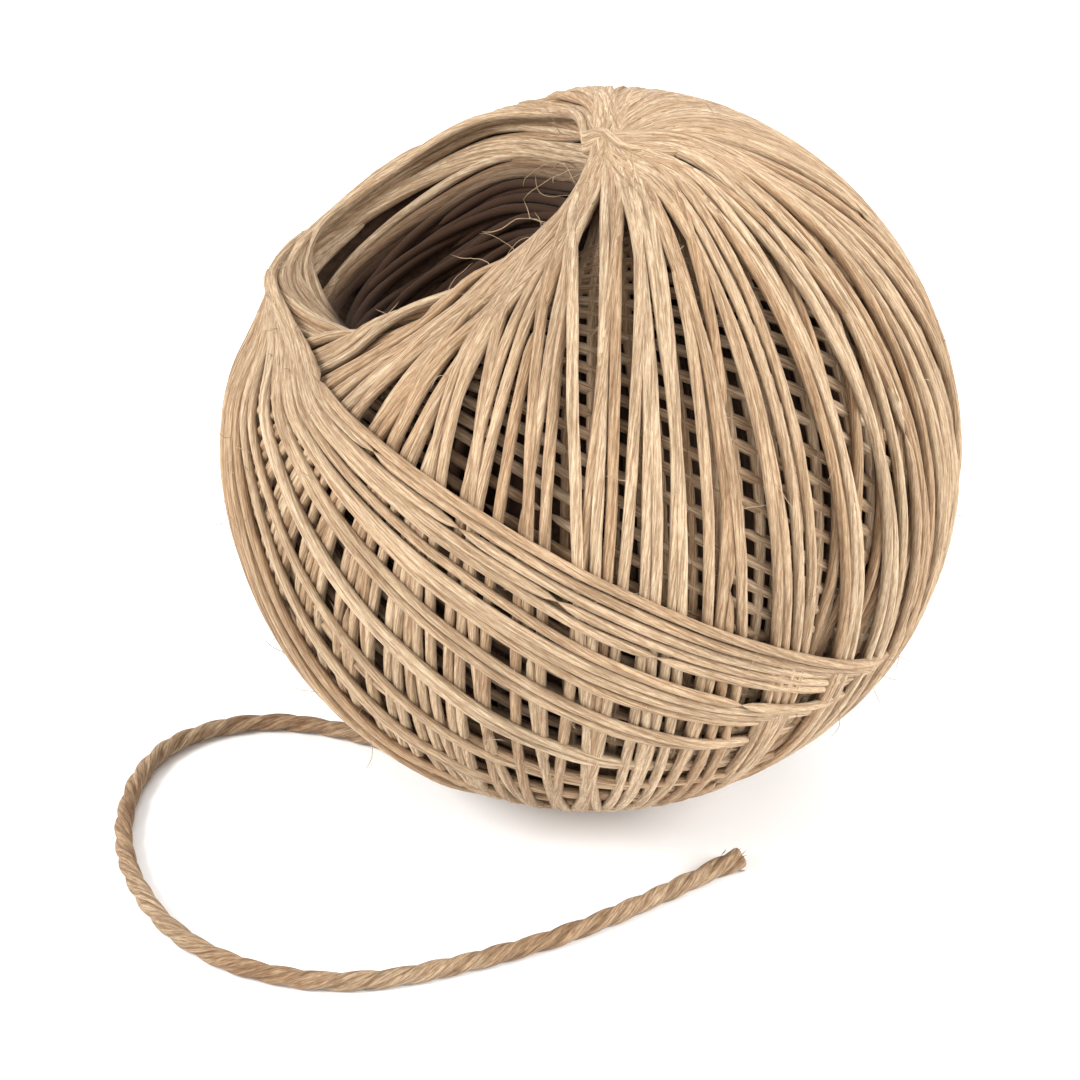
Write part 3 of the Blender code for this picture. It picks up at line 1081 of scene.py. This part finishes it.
class TWINE_OT_windings(bpy.types.Operator):
    """Winds all the turns in order: mouth wall, base, under, fan, far and band turns"""

    bl_idname = "twine.windings"
    bl_label = "Turns"

    def execute(self, context):
        own = settings()
        radius = own.twine_diameter / MM / 2.0
        material = wound_material()
        surface = Surface(EMPTY)
        wall = []
        for directions in wall_loops(5):
            loop = Winding(directions, radius * 0.95)
            loop.lay(surface, 0.3, -3.0)
            flatten(loop, WALL_LAYER)
            wall.append(loop)
        for number, directions in enumerate(lip_turns(6)):
            turn = Winding(directions, radius * 0.92)
            polar, _ = spherical(turn.directions)
            turn.heights = 0.25 + 0.18 * (number % 3) - turn.radius - 0.9 * smooth((polar - 27.0) / 4.0)
            wall.append(turn)
        planes = precession(first=-262.0, last=4.0, step=6.2, bundle=90, gap=0.0, seed=11)
        base = Winding(run_of_turns(plain_knots(planes), KNUCKLE, 4.0, 12), radius)
        planes = precession(first=-176.0, last=100.0, step=4.1, bundle=90, gap=0.0, seed=13)
        under = Winding(run_of_turns(plain_knots(planes), CORNER, 4.0, 14), radius)
        fan = Winding(run_of_turns(fan_knots(15), KNUCKLE, 4.5, 16), radius)
        planes = precession(first=232.0, last=334.0, step=2.6, bundle=2, gap=7.0, seed=17)
        far = Winding(run_of_turns(plain_knots(planes), -KNUCKLE, 4.5, 18), radius)
        band = Winding(run_of_turns(band_knots(19), CORNER, 1.0, 20, 0.06), radius * 0.9)
        laid = ((base, -4.0), (under, -3.0), (fan, -1.8), (far, -1.8), (band, -0.6))
        for winding, cap in laid:
            winding.lay(surface, SQUEEZE, cap)
        turns = [winding for winding, _ in laid]
        settle(surface, turns)
        surface = Surface(EMPTY - 3.0)
        for winding in [*wall, *turns]:
            winding.press_again(surface)
        settle(surface, turns)
        flatten(base, BASE_LAYER)
        flatten(under, under_layer(under.directions))
        flatten(fan, fan_layer(fan.directions))
        flatten(far, FAR_LAYER)
        flatten(band, band_layer(band.directions))
        self.shapes((wall, [base], [under], [fan], [far], [band]), material)
        self.stray_fibres([under, fan, fan, far, band, band], material)
        return {"FINISHED"}

    def stray_fibres(self, turns, material):
        """Short fibres that have worked loose from the outermost turns, and longer ones inside."""
        rng = np.random.default_rng(31)
        strands = Strands()
        for _ in range(STRAY_FIBRES):
            winding = turns[rng.integers(len(turns))]
            at = rng.integers(20, len(winding.heights) - 20)
            direction = winding.directions[at]
            if winding.heights[at] < -1.4 or (direction @ KNUCKLE) < -0.55:
                continue
            polar, azimuth = spherical(direction[None, :])
            if polar[0] < 30.0:
                continue
            start, away = places(polar, azimuth, winding.heights[at : at + 1] + winding.radius * 0.8)
            along = winding.directions[at + 4] - winding.directions[at - 4]
            heading = unit(unit(along) * rng.choice((-1.0, 1.0)) + rng.normal(0.0, 0.45, 3))
            self.hair(strands, rng, start[0], heading, away[0], rng.uniform(1.6, 5.5), 0.038)
        for _ in range(MOUTH_FIBRES):
            polar, azimuth = np.array([rng.uniform(14.0, 27.0)]), np.array([rng.uniform(1.5, 4.1)])
            start, away = places(polar, azimuth, np.array([0.5]))
            heading = unit(away[0] + rng.normal(0.0, 0.6, 3))
            self.hair(strands, rng, start[0], heading, away[0], rng.uniform(5.0, 11.0), 0.05)
        piece = strands.build("stray_fibres", material)
        belongs(piece, "ball")

    def hair(self, strands, rng, start, heading, away, length, thick):
        """One curling fibre that starts inside a turn and stays close to it."""
        steps = max(6, int(length / 0.55))
        points, turn = [start - away * 0.25], rng.normal(0.0, 1.0, 3)
        direction = unit(heading + away * rng.uniform(0.1, 0.55))
        for step in range(steps):
            turn = unit(turn + rng.normal(0.0, 0.5, 3))
            direction = unit(direction + turn * 0.34 - away * (0.05 * step / steps))
            points.append(points[-1] + direction * (length / steps))
        line = np.array(points)
        outward = np.tile(away, (len(line), 1))
        depth = np.full(len(line), -1.0)
        strands.add(line, outward, thick, 4, 50.0, 0.0, 0.0, rng.uniform(0.6, 1.3), depth)

    def shapes(self, families, material):
        """Makes one mesh of each family of turns."""
        for index, (name, step, sides, lobe) in enumerate(MESH_PLAN):
            strands = Strands()
            for number, winding in enumerate(families[index]):
                strands_of(strands, winding, step, sides, lobe, 100 * index + number)
            piece = strands.build(name, mouth_shade_material() if index == 0 else material)
            belongs(piece, "ball")


# ---------------------------------------------------------------- the stage


class TWINE_OT_camera(bpy.types.Operator):
    """Sets the camera above the front of the ball"""

    bl_idname = "twine.camera"
    bl_label = "Camera"

    def execute(self, context):
        data = bpy.data.cameras.new("camera")
        data.lens = CAMERA_LENS
        data.sensor_width = 36.0
        data.clip_start = 0.01
        data.clip_end = 20.0
        camera = bpy.data.objects.new("camera", data)
        back = CAMERA_DISTANCE * np.cos(CAMERA_ELEVATION)
        rise = CAMERA_DISTANCE * np.sin(CAMERA_ELEVATION)
        camera.location = (0.0, -back, 0.0395 + rise)
        camera.rotation_euler = (np.pi / 2.0 - CAMERA_PITCH, 0.0, CAMERA_TURN)
        context.scene.collection.objects.link(camera)
        context.scene.camera = camera
        return {"FINISHED"}


FLOOR_WIDTH = 6.0
LIGHTS = (
    # name, place in metres, width in metres, power in watts
    ("key_light", (-0.92, -0.36, 0.78), 0.5, 17.0),
    ("fill_light", (0.98, -0.22, 0.55), 0.7, 15.0),
    ("back_light", (0.1, 0.8, 0.7), 0.6, 2.5),
)


class TWINE_OT_stage(bpy.types.Operator):
    """Adds the pale floor, the soft lights and the surrounding light"""

    bl_idname = "twine.stage"
    bl_label = "Stage"

    def execute(self, context):
        half = FLOOR_WIDTH / 2.0
        points = np.array([(-half, -half, 0.0), (half, -half, 0.0), (half, half, 0.0), (-half, half, 0.0)])
        material = bpy.data.materials.new("pale floor")
        tree, nodes, links = nodes_of(material)
        shader = nodes["Principled BSDF"]
        shader.inputs["Base Color"].default_value = (0.93, 0.93, 0.93, 1.0)
        shader.inputs["Roughness"].default_value = 0.9
        shader.inputs["Specular IOR Level"].default_value = 0.1
        floor = mesh_object("floor", points, np.array([(0, 1, 2, 3)]), material)
        for name, place, width, power in LIGHTS:
            self.light(name, place, width, power)
        world = bpy.data.worlds.new("surrounding light")
        world.use_nodes = True
        background = world.node_tree.nodes["Background"]
        background.inputs["Color"].default_value = (1.0, 1.0, 1.0, 1.0)
        background.inputs["Strength"].default_value = 0.95
        context.scene.world = world
        context.scene.view_settings.view_transform = "Standard"
        return {"FINISHED"}

    def light(self, name, place, size, power):
        data = bpy.data.lights.new(name, "AREA")
        data.size = size
        data.energy = power
        light = bpy.data.objects.new(name, data)
        light.location = place
        aim = Vector((0.0, 0.0, 0.035)) - light.location
        light.rotation_euler = aim.to_track_quat("-Z", "Y").to_euler()
        bpy.context.scene.collection.objects.link(light)


# ---------------------------------------------------------------- the add-on


def fibre_color(name, description, color):
    return bpy.props.FloatVectorProperty(
        name=name, description=description, subtype="COLOR", size=3, default=color
    )


class BallOfTwineSettings(bpy.types.PropertyGroup):
    """Sizes and colours of the ball of twine"""

    twine_diameter: bpy.props.FloatProperty(
        name="Twine Diameter", description="Thickness of the wound twine", default=1.16 * MM, unit="LENGTH"
    )
    light_color: fibre_color("Light Fibre", "Colour of the light fibres", (0.505, 0.402, 0.278))
    dark_color: fibre_color("Dark Fibre", "Colour of the dark fibres", (0.315, 0.196, 0.115))
    # Painted shade: the colours that turns deep in the gaps and deep in the mouth are darkened toward.
    gap_shade_color: fibre_color("Painted Gap Shade", "Painted shade colour of the turns deep in the gaps", (0.078, 0.038, 0.020))
    mouth_shade_color: fibre_color("Painted Mouth Shade", "Painted shade colour of the turns deep in the mouth", (0.040, 0.016, 0.006))
    tail_light_color: fibre_color("Loose End Light", "Light fibres of the loose end", (0.395, 0.298, 0.200))
    tail_dark_color: fibre_color("Loose End Dark", "Dark fibres of the loose end", (0.195, 0.112, 0.060))


class TWINE_PT_panel(bpy.types.Panel):
    """Lists the pieces of the ball of twine"""

    bl_idname = "TWINE_PT_panel"
    bl_label = "Ball of Twine"
    bl_space_type = "VIEW_3D"
    bl_region_type = "UI"
    bl_category = "Twine"

    def draw(self, context):
        own = settings()
        for name in BallOfTwineSettings.__annotations__:
            self.layout.prop(own, name)
        for operator in OPERATORS:
            self.layout.operator(operator.bl_idname)


OPERATORS = (
    TWINE_OT_camera,
    TWINE_OT_loose_end,
    TWINE_OT_core,
    TWINE_OT_windings,
    TWINE_OT_stage,
)


def register():
    for part in (BallOfTwineSettings, *OPERATORS, TWINE_PT_panel):
        bpy.utils.register_class(part)
    bpy.types.Scene.ball_of_twine = bpy.props.PointerProperty(type=BallOfTwineSettings)


def unregister():
    del bpy.types.Scene.ball_of_twine
    for part in reversed((BallOfTwineSettings, *OPERATORS, TWINE_PT_panel)):
        bpy.utils.unregister_class(part)


def main():
    register()
    bpy.ops.twine.camera()
    bpy.ops.twine.loose_end()
    bpy.ops.twine.core()
    bpy.ops.twine.windings()
    bpy.ops.twine.stage()


if __name__ == "__main__":
    main()
